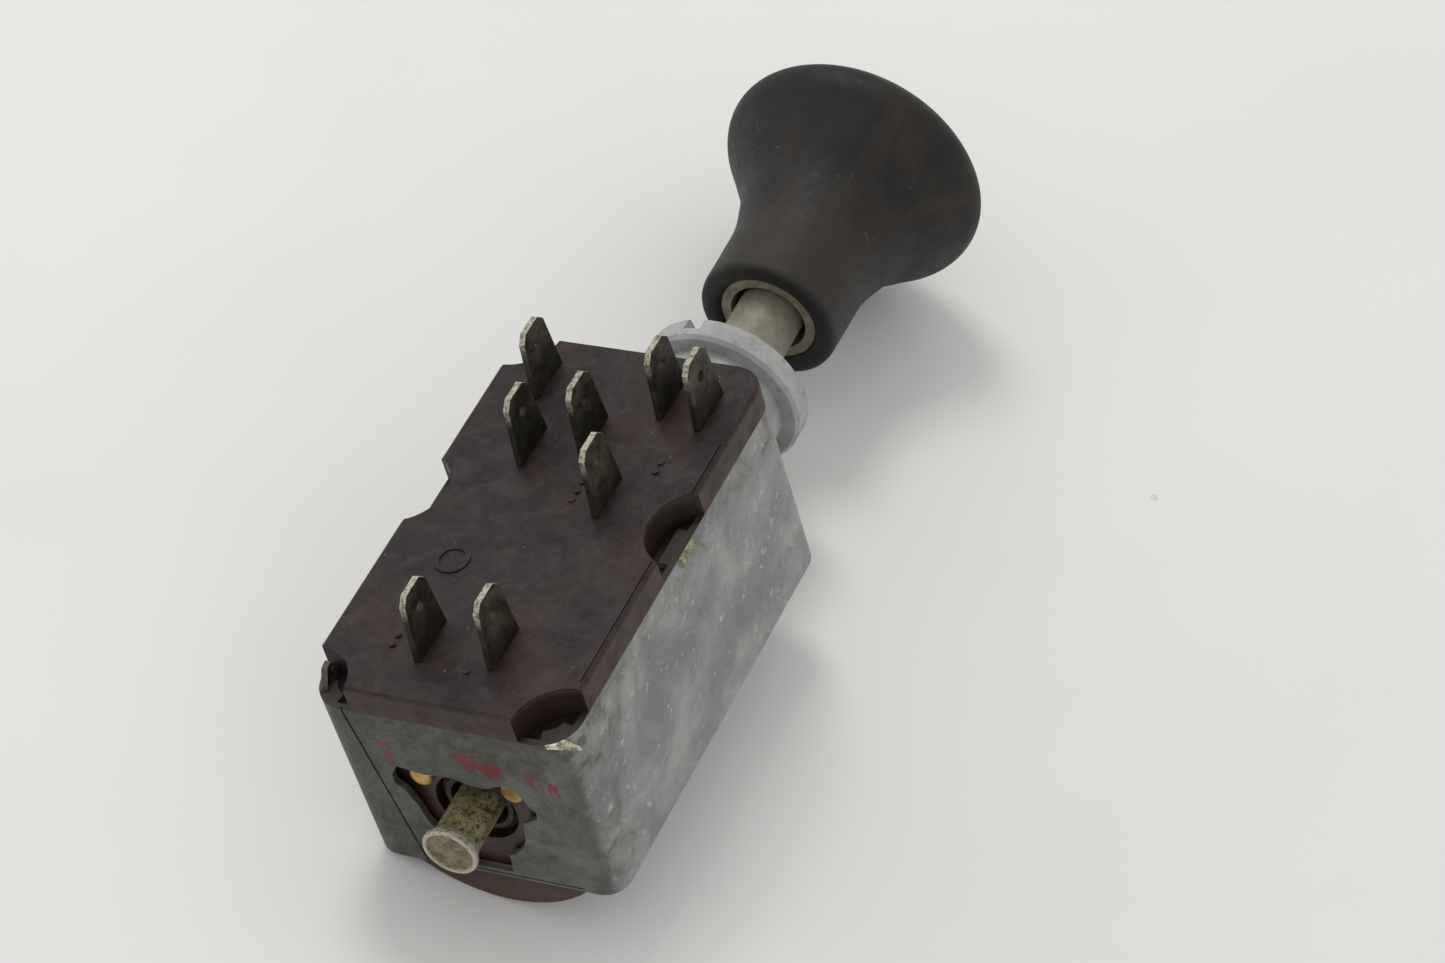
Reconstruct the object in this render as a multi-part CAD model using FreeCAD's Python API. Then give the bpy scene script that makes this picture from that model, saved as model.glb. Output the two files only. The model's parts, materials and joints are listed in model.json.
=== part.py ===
import FreeCAD, Part
import math
import os

# Pull-and-turn switch in a folded steel box with eight push-on blade terminals.
# Frame, millimetres: origin where the shaft axis meets the box's front (panel) face,
# +Y out along the shaft towards the knob, +Z towards the blade terminals, +X to the
# right when the box is seen from the rod-end (rear) side.

# ---- box ---------------------------------------------------------------------------
body_w = 36.0            # outside width of the box at its rim
body_l = 62.6            # outside length of the box at its rim
shell_h = 28.8           # rim to underside
wall = 0.9               # sheet thickness
corner_r = 4.8           # outside radius of the upright corners at the rim
foot_r = 3.2             # the same at the underside
side_draft = 0.5         # each side leans in this much from rim to underside
rear_draft = 1.2         # the rear wall leans in this much
plate_t = 3.8            # terminal plate thickness seen above the rim
axis_depth = 20.5        # terminal face down to the shaft axis
bottom_round = 1.0       # round along the box's bottom edges

top_z = axis_depth
rim_z = top_z - plate_t
floor_z = rim_z - shell_h
inner_floor_z = floor_z + wall
half_w = body_w / 2.0
rear_y = -body_l

# ---- terminals -----------------------------------------------------------------------
blade_w = 6.3            # standard push-on width, half way up
blade_t = 0.8
blade_h = 9.5            # above the terminal face
blade_taper = 0.45       # each edge leans in this much below and above half way
blade_bevel = 1.1        # corners taken off the tip
blade_hole_r = 0.75
blade_hole_drop = 3.4    # tip to the centre of the hole
slot_gap = 0.08          # all round the blade in its slot
strap_t = 0.8
spigot_h = 1.6           # the plate's step that drops inside the box
spigot_gap = 0.25
# blade positions: share of the half width across, share of the length from the front
blade_places = [(-0.575, 0.121), (-0.383, 0.305), (0.013, 0.251), (0.379, 0.407),
                (0.415, 0.124), (0.738, 0.141), (-0.240, 0.844), (0.298, 0.831)]
blades = [(a * half_w, -b * body_l) for a, b in blade_places]

root_half = blade_w / 2.0 + blade_taper
spigot_z = rim_z - spigot_h
strap_z = spigot_z - strap_t
button_r = 1.5
button_h = 1.0
button_z = strap_z - button_h
left_x = blades[0][0] + 0.9      # lane of the left moving bridge
right_x = blades[5][0] - 2.0     # lane of the right moving bridge
supply_y = -0.447 * body_l       # where the dimmer supply strap ends
buttons = [(left_x, blades[0][1]), (left_x, blades[1][1]), blades[2],
           (blades[3][0] - 1.3, blades[3][1]), (blades[4][0] - 1.3, blades[4][1]),
           (right_x, blades[5][1]), (right_x, supply_y)]

# ---- shaft ---------------------------------------------------------------------------
travel = 12.0            # knob pull, two steps of 6
shaft_r = 4.5            # thick front part
rod_r = 3.0              # thin rear part
rod_tail_y = rear_y - 5.6        # rear face of the flared end, knob pushed in
flare_r = 3.7
flat_half = 2.4          # half the width across the driving flats
run_gap = 0.05           # radial running clearance
end_gap = 0.10           # axial play

# ---- dimmer base ---------------------------------------------------------------------
base_r = -floor_z + 5.3
base_t = 3.5
base_front_y = rear_y + rear_draft + wall + 0.1
base_back_y = base_front_y + base_t
hub_r = 4.6
hub_hole_front_r = 5.6
coil_r = 0.9
coil_ring_r = -inner_floor_z - coil_r - 0.6
coil_start = -172.0
coil_end = -8.0
rivet_x = 6.4
rivet_z = 4.4

# ---- carriage ------------------------------------------------------------------------
slide_gap = 0.25
flange_t = 1.1           # nose flange behind the front wall
car_front_y = -(wall + flange_t + travel + 1.0)
car_rear_y = -0.703 * body_l
car_top_z = strap_z - 4.8
car_half = half_w - wall - side_draft - 0.4
car_bottom_z = inner_floor_z + slide_gap
well_z = 5.0             # bottom of the wells for the bridge springs
touch_gap = 0.15         # bridge to fixed button, closed up by the spring in use
bridge_t = 0.8
bridge_top_z = button_z - touch_gap
centre_x = (buttons[2][0] + buttons[3][0]) / 2.0
centre_half = (buttons[3][0] - buttons[2][0]) / 2.0 + 2.2
bridges = {"left": (left_x - 2.4, left_x + 2.4, car_rear_y + 7.0, car_front_y - 0.9),
           "centre": (centre_x - centre_half, centre_x + centre_half,
                      car_rear_y + 6.0, car_front_y - 4.0),
           "right": (right_x - 1.6, right_x + 1.6, car_rear_y + 2.0, car_front_y - 1.0)}
ball_r = 1.5
ball_x = half_w / 2.0
ball_y = car_rear_y + 4.0
ball_well_z = inner_floor_z + 2.0 * ball_r + 3.7

# ---- nose and nut --------------------------------------------------------------------
nose_r = 9.0
nose_len = 16.2
shank_r = 8.0
nut_r = 11.4
nut_t = 3.8
nut_slot_w = 2.6
nut_slot_d = 2.2
nut_slot_angle = 100.0

# ---- knob ----------------------------------------------------------------------------
knob_y = 28.0            # rear end of the neck, knob pushed in
knob_r = 18.6
knob_len = 37.6
neck_r = 9.8
recess_r = 6.8
recess_d = 6.0
insert_r = 5.2
insert_len = 13.0
stub_r = 3.0


def box(x0, x1, y0, y1, z0, z1):
    return Part.makeBox(x1 - x0, y1 - y0, z1 - z0, FreeCAD.Vector(x0, y0, z0))


def cyl_y(r, y0, y1, x=0.0, z=0.0):
    return Part.makeCylinder(r, y1 - y0, FreeCAD.Vector(x, y0, z), FreeCAD.Vector(0, 1, 0))


def cyl_z(r, z0, z1, x, y):
    return Part.makeCylinder(r, z1 - z0, FreeCAD.Vector(x, y, z0), FreeCAD.Vector(0, 0, 1))


def tube_y(r_out, r_in, y0, y1, x=0.0, z=0.0):
    return cyl_y(r_out, y0, y1, x, z).cut(cyl_y(r_in, y0 - 1, y1 + 1, x, z))


def fuse_all(shapes):
    out = shapes[0]
    for s in shapes[1:]:
        out = out.fuse(s)
    return out.removeSplitter()


def revolve_y(points):
    """Solid of revolution about the shaft axis from (y, radius) points and curves."""
    wire = Part.Wire(points)
    face = Part.Face(wire)
    return face.revolve(FreeCAD.Vector(0, 0, 0), FreeCAD.Vector(0, 1, 0), 360)


def rounded_wire(x0, x1, y0, y1, r, z):
    """Closed outline of a rectangle with round corners, in the plane at height z."""
    v = FreeCAD.Vector
    k = r * (1.0 - math.sqrt(0.5))
    e = []
    e.append(Part.makeLine(v(x0 + r, y0, z), v(x1 - r, y0, z)))
    e.append(Part.Arc(v(x1 - r, y0, z), v(x1 - k, y0 + k, z), v(x1, y0 + r, z)).toShape())
    e.append(Part.makeLine(v(x1, y0 + r, z), v(x1, y1 - r, z)))
    e.append(Part.Arc(v(x1, y1 - r, z), v(x1 - k, y1 - k, z), v(x1 - r, y1, z)).toShape())
    e.append(Part.makeLine(v(x1 - r, y1, z), v(x0 + r, y1, z)))
    e.append(Part.Arc(v(x0 + r, y1, z), v(x0 + k, y1 - k, z), v(x0, y1 - r, z)).toShape())
    e.append(Part.makeLine(v(x0, y1 - r, z), v(x0, y0 + r, z)))
    e.append(Part.Arc(v(x0, y0 + r, z), v(x0 + k, y0 + k, z), v(x0 + r, y0, z)).toShape())
    return Part.Wire(e)


def rounded_block(x0, x1, y0, y1, r, z0, z1):
    face = Part.Face(rounded_wire(x0, x1, y0, y1, r, z0))
    return face.extrude(FreeCAD.Vector(0, 0, z1 - z0))


def polygon_xz(points, y0, y1):
    pts = [FreeCAD.Vector(x, y0, z) for x, z in points]
    face = Part.Face(Part.makePolygon(pts + [pts[0]]))
    return face.extrude(FreeCAD.Vector(0, y1 - y0, 0))


def draft_at(z):
    """How far the walls have leaned in at height z, as a share of their full lean."""
    return (rim_z - z) / shell_h


def leaning_block(inset, z_low, z_high):
    """The box's outline at two heights, joined, set in by a wall thickness."""
    wires = []
    for z in (z_low, z_high):
        lean = draft_at(z)
        s = side_draft * lean + inset
        b = rear_draft * lean + inset
        r = corner_r - (corner_r - foot_r) * lean - inset
        wires.append(rounded_wire(-half_w + s, half_w - s, rear_y + b, -inset, r, z))
    return Part.makeLoft(wires, True, True)


def corner_sector(cx, cy, start, r_in, r_out, z0, z1):
    """A piece of a ring 64 degrees wide, centred on one of the box's round corners."""
    v = FreeCAD.Vector
    ring = Part.makeCylinder(r_out, z1 - z0, v(cx, cy, z0), v(0, 0, 1), 64.0)
    ring = ring.cut(Part.makeCylinder(r_in, z1 - z0, v(cx, cy, z0), v(0, 0, 1)))
    ring.rotate(v(cx, cy, 0), v(0, 0, 1), start)
    return ring


corner_in = half_w - corner_r
corners = [(-corner_in, rear_y + corner_r, 193.0), (corner_in, rear_y + corner_r, 283.0),
           (-corner_in, -corner_r, 103.0)]
mid_y = -0.455 * body_l
side_tabs = [(-1, mid_y - 0.5), (1, mid_y)]
side_tab_half = 3.0
tab_over = 2.3           # how far a tab folds in over the plate's ledge
ledge_z = rim_z - wall   # the folded tabs finish level with the rim


def crimp_tabs():
    """Tongues of the box rim folded in over the plate's ledges, level with the rim."""
    out = []
    for cx, cy, start in corners:
        out.append(corner_sector(cx, cy, start, corner_r - tab_over, corner_r - 0.05,
                                 ledge_z, rim_z))
    for side, y in side_tabs:
        xo = side * (half_w - 0.1)
        xi = side * (half_w - tab_over)
        out.append(box(min(xo, xi), max(xo, xi), y - side_tab_half, y + side_tab_half,
                       ledge_z, rim_z))
    # rolled bend that stands proud outside the right-hand tab
    out.append(cyl_y(0.75, mid_y - 1.9, mid_y + 1.9, half_w, rim_z - 0.7))
    return out


def sector_wire(cx, cy, a0, a1, r_in, r_out, z):
    """Closed outline of a piece of a flat ring, angles in degrees."""
    def at(r, a):
        a = math.radians(a)
        return FreeCAD.Vector(cx + r * math.cos(a), cy + r * math.sin(a), z)
    mid = (a0 + a1) / 2.0
    return Part.Wire([Part.Arc(at(r_out, a0), at(r_out, mid), at(r_out, a1)).toShape(),
                      Part.makeLine(at(r_out, a1), at(r_in, a1)),
                      Part.Arc(at(r_in, a1), at(r_in, mid), at(r_in, a0)).toShape(),
                      Part.makeLine(at(r_in, a0), at(r_out, a0))])


def corner_lug():
    """Pointed tongue at the left rear corner, left standing and leaning inwards."""
    cx, cy, start = corners[0]
    low = sector_wire(cx, cy, 174.0, 226.0, corner_r - wall, corner_r - 0.02, rim_z - 0.3)
    high = sector_wire(cx, cy, 176.0, 198.0, corner_r - 1.7, corner_r - 0.9, rim_z + 2.4)
    return Part.makeLoft([low, high], True, True)


def corner_ear():
    """Small three-cornered ear of raw edge standing out of the right rear corner."""
    v = FreeCAD.Vector
    pts = [(-1.9, rim_z), (0.5, rim_z), (2.0, rim_z - 2.4)]
    vec = [v(s, -corner_r - 0.5, z) for s, z in pts]
    ear = Part.Face(Part.makePolygon(vec + [vec[0]])).extrude(v(0, 1.0, 0))
    ear.rotate(v(0, 0, 0), v(0, 0, 1), 45.0)
    ear.translate(v(corner_in, rear_y + corner_r, 0))
    return ear


def rear_opening():
    """Many-lobed opening in the rear wall that the rod end passes through."""
    foot = min(floor_z + 1.9, -7.5)
    right = [(0.9, 6.3), (2.4, 6.0), (4.0, 6.0), (5.6, 6.9), (7.1, 7.1), (8.1, 6.5),
             (8.7, 5.3), (9.1, 4.1), (9.9, 3.0), (9.7, 1.7), (8.5, 1.0), (7.3, 0.3),
             (6.9, -1.4), (6.7, -2.8), (5.8, -4.7), (4.4, -6.2), (3.2, -6.9),
             (2.8, foot)]
    left = [(-2.8, foot), (-3.2, -6.9), (-4.4, -6.2), (-5.8, -4.9),
            (-6.8, -3.6), (-7.2, -2.4), (-7.5, -0.3), (-8.5, 2.5), (-9.7, 3.8),
            (-9.5, 5.4), (-8.3, 7.2), (-6.6, 6.8), (-4.5, 6.5), (-2.3, 6.9), (-0.5, 6.8)]
    return polygon_xz(right + left, rear_y - 1, base_front_y - 0.02)


def make_housing():
    outer = leaning_block(0.0, floor_z, rim_z)
    low = [e for e in outer.Edges if e.BoundBox.ZMax < floor_z + 0.01]
    outer = outer.makeFillet(bottom_round, low)
    inner = leaning_block(wall, inner_floor_z, rim_z + 1.0)
    shell = outer.cut(inner)
    shell = fuse_all([shell, corner_lug(), corner_ear()] + crimp_tabs())
    shell = shell.cut(cyl_y(shank_r, -2, 1))
    shell = shell.cut(rear_opening())
    # slot in the floor for the lower part of the round dimmer base
    half_slot = math.sqrt(base_r ** 2 - inner_floor_z ** 2) + 0.3
    shell = shell.cut(box(-half_slot, half_slot, base_front_y - 0.05, base_back_y + 0.15,
                          floor_z - 1, inner_floor_z + 1))
    # open joint between the rear flap and the left side, and the fold above the floor
    a = -0.73 * half_w
    b = -0.55 * half_w
    seam = polygon_xz([(a, rim_z), (a + 0.3, rim_z), (b + 0.3, floor_z), (b, floor_z)],
                      rear_y - 1, rear_y + 2)
    keep = leaning_block(0.35, floor_z - 0.5, rim_z + 0.5)
    shell = shell.cut(seam.cut(keep))
    c = 0.68 * half_w
    fold_z = floor_z + 1.3
    fold = polygon_xz([(b, fold_z), (c, fold_z), (c + 0.4, fold_z - 0.25), (b, fold_z - 0.25)],
                      rear_y - 1, rear_y + 3)
    shell = shell.cut(fold.cut(keep))
    # shallow dimples in the floor for the three knob positions
    for sx in (-1, 1):
        for step in range(3):
            dimple = Part.makeSphere(ball_r + 0.05, FreeCAD.Vector(
                sx * ball_x, ball_y + step * travel / 2.0, inner_floor_z + ball_r - 0.2))
            shell = shell.cut(dimple)
    return shell


def blade_slot(x, y):
    g = slot_gap
    return box(x - blade_t / 2 - g, x + blade_t / 2 + g, y - root_half - g,
               y + root_half + g, spigot_z - 1, top_z + 1)


def make_terminal_plate():
    slab = rounded_block(-half_w, half_w, rear_y, 0, corner_r, rim_z, top_z)
    upper = [e for e in slab.Edges if e.BoundBox.ZMin > top_z - 0.01]
    slab = slab.makeChamfer(0.45, upper)
    g = wall + spigot_gap
    spigot = rounded_block(-half_w + g, half_w - g, rear_y + g + 0.1, -g,
                           corner_r - g, spigot_z, rim_z)
    slab = slab.fuse(spigot)
    # scallops that leave room for the folded tabs
    scallops = [cyl_z(6.4, ledge_z, top_z + 1, -half_w, rear_y),
                cyl_z(6.5, ledge_z, top_z + 1, half_w, rear_y),
                cyl_z(6.3, ledge_z, top_z + 1, -half_w - 2.7, side_tabs[0][1]),
                cyl_z(6.7, ledge_z, top_z + 1, half_w + 2.7, side_tabs[1][1]),
                cyl_z(6.0, ledge_z, top_z + 1, -half_w, 0)]
    for n in scallops:
        slab = slab.cut(n)
    for x, y in blades:
        slab = slab.cut(blade_slot(x, y))
    # fine moulded line along the right-hand edge
    line = box(half_w - 0.75, half_w - 0.55, -0.88 * body_l, -0.225 * body_l,
               top_z - 0.2, top_z + 1)
    slab = slab.cut(line)
    # moulded marks: a plain ring and rows of pips beside the terminals
    rx = -0.44 * half_w
    ry = -0.633 * body_l
    ring = cyl_z(2.3, top_z - 0.1, top_z + 0.2, rx, ry)
    ring = ring.cut(cyl_z(1.7, top_z - 1, top_z + 1, rx, ry))
    marks = [ring]
    pip_rows = [(-0.49, 0.87, 2), (0.144, 0.904, 1), (0.144, 0.431, 3), (0.62, 0.323, 2)]
    for a, b, count in pip_rows:
        for i in range(count):
            marks.append(cyl_z(0.45, top_z - 0.1, top_z + 0.25, a * half_w, 1.6 * i - b * body_l))
    return fuse_all([slab] + marks)


def blade_body(x, y):
    """Upright push-on blade, tapered and bevelled, standing on its strap."""
    v = FreeCAD.Vector
    tip = top_z + blade_h
    r = root_half
    w = blade_w / 2.0 - blade_taper
    c = blade_bevel
    x0 = x - blade_t / 2.0
    pts = [(y - r, strap_z), (y + r, strap_z), (y + r, top_z + 0.4), (y + w, tip - c),
           (y + w - c, tip), (y - w + c, tip), (y - w, tip - c), (y - r, top_z + 0.4)]
    vec = [v(x0, a, b) for a, b in pts]
    blade = Part.Face(Part.makePolygon(vec + [vec[0]])).extrude(v(blade_t, 0, 0))
    hole = Part.makeCylinder(blade_hole_r, 4, v(x - 2, y, tip - blade_hole_drop), v(1, 0, 0))
    return blade.cut(hole)


def strap(x0, x1, y0, y1):
    return box(x0, x1, y0, y1, strap_z, spigot_z)


def drop_strip(side):
    """Strip that hangs from a strap down the dimmer base to its rivet."""
    x = side * rivet_x
    s = box(x - 1.5, x + 1.5, base_back_y, base_back_y + strap_t, rivet_z - 1.7, spigot_z)
    return s.cut(cyl_y(1.0, base_back_y - 1, base_back_y + 2, x, rivet_z))


def make_terminals():
    r = root_half
    out = []
    for i, (x, y) in enumerate(blades):
        parts = [blade_body(x, y)]
        if i == 6:
            parts.append(strap(-rivet_x - 1.5, x + 1.0, base_back_y, y + r))
            parts.append(drop_strip(-1))
        elif i == 7:
            bar = y + r - 3.0
            parts.append(strap(rivet_x - 1.5, x + 1.6, base_back_y, y + r))
            parts.append(strap(x - 1.4, right_x + 1.6, bar, y + r))
            parts.append(strap(right_x - 1.6, right_x + 1.6, bar, supply_y + 2.0))
            parts.append(drop_strip(1))
        else:
            near = buttons[i][0]
            parts.append(strap(min(near - 1.7, x - 1.2), max(near + 1.7, x + 1.2), y - r, y + r))
        out.append(fuse_all(parts))
    return out


def make_buttons():
    """Fixed contact buttons on the undersides of the straps, slightly domed."""
    out = []
    for x, y in buttons:
        b = cyl_z(button_r, button_z, strap_z, x, y)
        low = [e for e in b.Edges if e.BoundBox.ZMax < button_z + 0.01]
        out.append(b.makeFillet(0.45, low))
    return Part.makeCompound(out)


def make_dimmer_base():
    disc = cyl_y(base_r, base_front_y, base_back_y)
    flat = half_w - wall - side_draft - 0.15
    disc = disc.common(rounded_block(-flat, flat, base_front_y, 0, corner_r - wall,
                                     -base_r - 1, strap_z - 0.35))
    disc = disc.cut(cyl_y(hub_hole_front_r, base_front_y - 1, base_back_y - 1.5))
    disc = disc.cut(cyl_y(hub_r + run_gap, base_front_y - 1, base_back_y + 1))
    groove = Part.makeTorus(coil_ring_r, coil_r + 0.05, FreeCAD.Vector(0, base_back_y, 0),
                            FreeCAD.Vector(0, 1, 0))
    disc = disc.cut(groove)
    for s in (-1, 1):
        disc = disc.cut(cyl_y(1.0, base_front_y - 1, base_back_y + 1, s * rivet_x, rivet_z))
    return disc


def make_dimmer_coil():
    """Wound resistance element, an arc round the lower half of the base's groove."""
    v = FreeCAD.Vector
    span = coil_end - coil_start
    a = math.radians(coil_start)
    centre = v(coil_ring_r * math.cos(a), base_back_y, coil_ring_r * math.sin(a))
    tangent = v(-math.sin(a), 0, math.cos(a))
    face = Part.Face(Part.Wire(Part.makeCircle(coil_r, centre, tangent)))
    return face.revolve(v(0, 0, 0), v(0, -1, 0), span)


def make_dimmer_rivets():
    out = []
    for s in (-1, 1):
        x = s * rivet_x
        shank = cyl_y(1.0, base_front_y - 0.1, base_back_y + strap_t + 0.1, x, rivet_z)
        head = cyl_y(1.6, base_front_y - 0.75, base_front_y, x, rivet_z)
        rim = [e for e in head.Edges if e.BoundBox.YMax < base_front_y - 0.7]
        head = head.makeFillet(0.5, rim)
        tail = cyl_y(1.45, base_back_y + strap_t, base_back_y + strap_t + 0.5, x, rivet_z)
        out.append(fuse_all([shank, head, tail]))
    return Part.makeCompound(out)


def make_nose():
    body = cyl_y(nose_r, 0, nose_len)
    rim = [e for e in body.Edges if e.BoundBox.YMin > nose_len - 0.01]
    body = body.makeChamfer(0.6, rim)
    shank = cyl_y(shank_r, -wall, 0)
    flange = cyl_y(nose_r + 0.5, -wall - flange_t, -wall)
    nose = fuse_all([body, shank, flange])
    return nose.cut(cyl_y(shaft_r + run_gap, -5, nose_len + 1))


def make_nut():
    y0 = nose_len - nut_t
    nut = cyl_y(nut_r, y0, nose_len)
    ends = [e for e in nut.Edges if e.BoundBox.YLength < 0.01]
    nut = nut.makeChamfer(0.5, ends)
    nut = nut.cut(cyl_y(nose_r, y0 - 1, nose_len + 1))
    for a in (nut_slot_angle, nut_slot_angle + 180.0):
        cut = box(nose_r - 2.0, nut_r + 2, nose_len - nut_slot_d, nose_len + 1,
                  -nut_slot_w / 2, nut_slot_w / 2)
        cut.rotate(FreeCAD.Vector(0, 0, 0), FreeCAD.Vector(0, -1, 0), a)
        nut = nut.cut(cut)
    return nut


def bridge_well(name):
    x0, x1, y0, y1 = bridges[name]
    g = 0.15
    return box(x0 - g, x1 + g, y0 - g, min(y1 + g, car_front_y + 1), well_z, car_top_z + 1)


def make_carriage():
    block = box(-car_half, car_half, car_rear_y, car_front_y, car_bottom_z, car_top_z)
    upright = [e for e in block.Edges if e.BoundBox.ZLength > 5]
    block = block.makeFillet(2.5, upright)
    block = block.cut(cyl_y(rod_r + run_gap, car_rear_y - 1, car_front_y + 1))
    for name in bridges:
        block = block.cut(bridge_well(name))
    for s in (-1, 1):
        block = block.cut(cyl_z(ball_r + 0.1, car_bottom_z - 1, ball_well_z, s * ball_x, ball_y))
        # lightening pockets along the lower sides
        lo = min(s * 5.0, s * (car_half - 2.7))
        hi = max(s * 5.0, s * (car_half - 2.7))
        block = block.cut(box(lo, hi, car_rear_y + 8.5, car_front_y - 3.0,
                              car_bottom_z - 1, ball_well_z))
    return block


def make_bridge(name):
    """Brass contact bridge: a flat runner with an end leg into the carriage at each end."""
    x0, x1, y0, y1 = bridges[name]
    runner = box(x0, x1, y0, y1, bridge_top_z - bridge_t, bridge_top_z)
    upper = [e for e in runner.Edges if e.BoundBox.ZMin > bridge_top_z - 0.01]
    ends = [e for e in upper if e.BoundBox.XLength > 1]
    runner = runner.makeFillet(0.5, ends)
    leg_a = box(x0, x1, y0, y0 + bridge_t, car_top_z - 2.5, bridge_top_z - 0.6)
    leg_b = box(x0, x1, y1 - bridge_t, y1, car_top_z - 2.5, bridge_top_z - 0.6)
    return fuse_all([runner, leg_a, leg_b])


def coil_spring(x, y, z0, z1, r, wire, turns):
    """Round-wire compression spring standing along Z, swept along one smooth line."""
    v = FreeCAD.Vector
    radius = r - wire / 2.0
    rise = z1 - z0 - wire
    steps = 12 * turns
    points = []
    for i in range(steps + 1):
        a = math.radians(30.0 * i)
        z = z0 + wire / 2.0 + rise * i / steps
        points.append(v(x + radius * math.cos(a), y + radius * math.sin(a), z))
    line = Part.BSplineCurve()
    line.interpolate(points)
    start = line.tangent(line.FirstParameter)[0]
    profile = Part.Wire(Part.makeCircle(wire / 2.0, points[0], start))
    return Part.Wire(line.toShape()).makePipeShell([profile], True, True)


def make_bridge_springs():
    out = []
    for name in ("left", "centre", "right"):
        x0, x1, y0, y1 = bridges[name]
        for share in (0.22, 0.78):
            out.append(coil_spring((x0 + x1) / 2, y0 + share * (y1 - y0), well_z + 0.05,
                                   bridge_top_z - bridge_t - 0.05, 1.4, 0.4, 5))
    return Part.makeCompound(out)


def make_detent_balls():
    z = inner_floor_z + 0.1 + ball_r
    return Part.makeCompound([Part.makeSphere(ball_r, FreeCAD.Vector(s * ball_x, ball_y, z))
                              for s in (-1, 1)])


def make_detent_springs():
    z0 = inner_floor_z + 0.1 + 2 * ball_r + 0.03
    z1 = ball_well_z - 0.05
    return Part.makeCompound([coil_spring(s * ball_x, ball_y, z0, z1, ball_r - 0.15, 0.4, 4)
                              for s in (-1, 1)])


def make_rod():
    v = FreeCAD.Vector
    pts = [(rod_tail_y + 0.35, 0), (rod_tail_y + 0.35, flare_r - 0.8), (rod_tail_y, flare_r - 0.5),
           (rod_tail_y, flare_r - 0.1), (rod_tail_y + 0.2, flare_r), (rod_tail_y + 0.75, flare_r - 0.05),
           (rod_tail_y + 1.6, rod_r + 0.15), (rod_tail_y + 2.6, rod_r),
           (car_front_y + end_gap, rod_r), (car_front_y + end_gap, shaft_r - 0.4),
           (car_front_y + end_gap + 0.4, shaft_r), (knob_y + recess_d - 0.4, shaft_r),
           (knob_y + recess_d - 0.05, shaft_r - 0.35), (knob_y + recess_d - 0.05, stub_r),
           (knob_y + recess_d + insert_len - 1.5, stub_r),
           (knob_y + recess_d + insert_len - 1.0, stub_r - 0.5),
           (knob_y + recess_d + insert_len - 1.0, 0)]
    vec = [v(r, y, 0) for y, r in pts]
    rod = revolve_y(Part.makePolygon(vec + [vec[0]]).Edges)
    # driving flats that the dimmer hub slides along
    for s in (-1, 1):
        z0 = flat_half if s > 0 else -10.0
        z1 = 10.0 if s > 0 else -flat_half
        rod = rod.cut(box(-10, 10, car_rear_y - travel - 5.2, car_rear_y - 1.2, z0, z1))
    return rod.cut(tube_y(10, rod_r - 0.5, car_rear_y - 0.9, car_rear_y - end_gap))


def make_circlip():
    clip = tube_y(rod_r + 1.6, rod_r - 0.5, car_rear_y - 0.9 + 0.02, car_rear_y - end_gap - 0.02)
    return clip.cut(box(-1.6, 1.6, rear_y, 0, 0, 10))


def make_hub():
    """Dimmer hub: sleeve round the rod, keyed to its flats at the front end."""
    y0 = base_back_y - 2.8
    y1 = car_rear_y - 1.4
    key_y = y1 - 3.5
    hub = cyl_y(hub_r, y0, y1).fuse(cyl_y(6.0, base_back_y + 1.6, base_back_y + 2.3))
    hub = hub.cut(cyl_y(flare_r + 0.2, y0 - 1, key_y))
    key = cyl_y(rod_r + run_gap + 0.01, y0, y1 + 1)
    key = key.common(box(-10, 10, y0, y1 + 1, -flat_half - 0.06, flat_half + 0.06))
    hub = hub.cut(key)
    groove = tube_y(hub_r + 1, hub_r - 0.35, base_back_y - 2.2, base_back_y - 1.6)
    return hub.removeSplitter().cut(groove)


def make_hub_clip():
    clip = tube_y(hub_r + 0.7, hub_r - 0.35, base_back_y - 2.18, base_back_y - 1.62)
    return clip.cut(box(-1.3, 1.3, rear_y, 0, 0, 10))


def make_wiper():
    """Spring arm from the hub flange down to the resistance element."""
    y0 = base_back_y + 1.0
    y1 = base_back_y + 1.6
    ring = tube_y(5.9, hub_r, y0, y1)
    arm = box(-1.2, 1.2, y0, y1, -coil_ring_r, -5.0)
    pad = cyl_y(1.2, y0, y1, 0, -coil_ring_r)
    return fuse_all([ring, arm, pad])


def knob_outline():
    """Half outline of the knob as edges in the XY plane: x is the radius."""
    v = FreeCAD.Vector
    y = knob_y
    end = knob_y + knob_len
    edges = [Part.makeLine(v(0, y, 0), v(neck_r - 0.5, y, 0)),
             Part.makeLine(v(neck_r - 0.5, y, 0), v(neck_r, y + 0.5, 0)),
             Part.makeLine(v(neck_r, y + 0.5, 0), v(neck_r, y + 9.5, 0))]
    flare = Part.BSplineCurve()
    flare.interpolate([v(neck_r, y + 9.5, 0), v(neck_r + 1.1, y + 15.0, 0),
                       v(neck_r + 2.3, y + 19.3, 0), v(neck_r + 4.6, y + 23.4, 0),
                       v(knob_r - 2.0, y + 26.2, 0), v(knob_r - 0.35, y + 28.6, 0)])
    edges.append(flare.toShape())
    rim = Part.Arc(v(knob_r - 0.35, y + 28.6, 0), v(knob_r, y + 30.3, 0),
                   v(knob_r - 0.6, y + 32.2, 0))
    edges.append(rim.toShape())
    dome = Part.BSplineCurve()
    dome.interpolate([v(knob_r - 0.6, y + 32.2, 0), v(knob_r - 2.6, y + 34.2, 0),
                      v(knob_r * 0.62, y + 36.1, 0), v(knob_r * 0.3, end - 0.3, 0),
                      v(0, end, 0)])
    edges.append(dome.toShape())
    edges.append(Part.makeLine(v(0, end, 0), v(0, y, 0)))
    return edges


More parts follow.
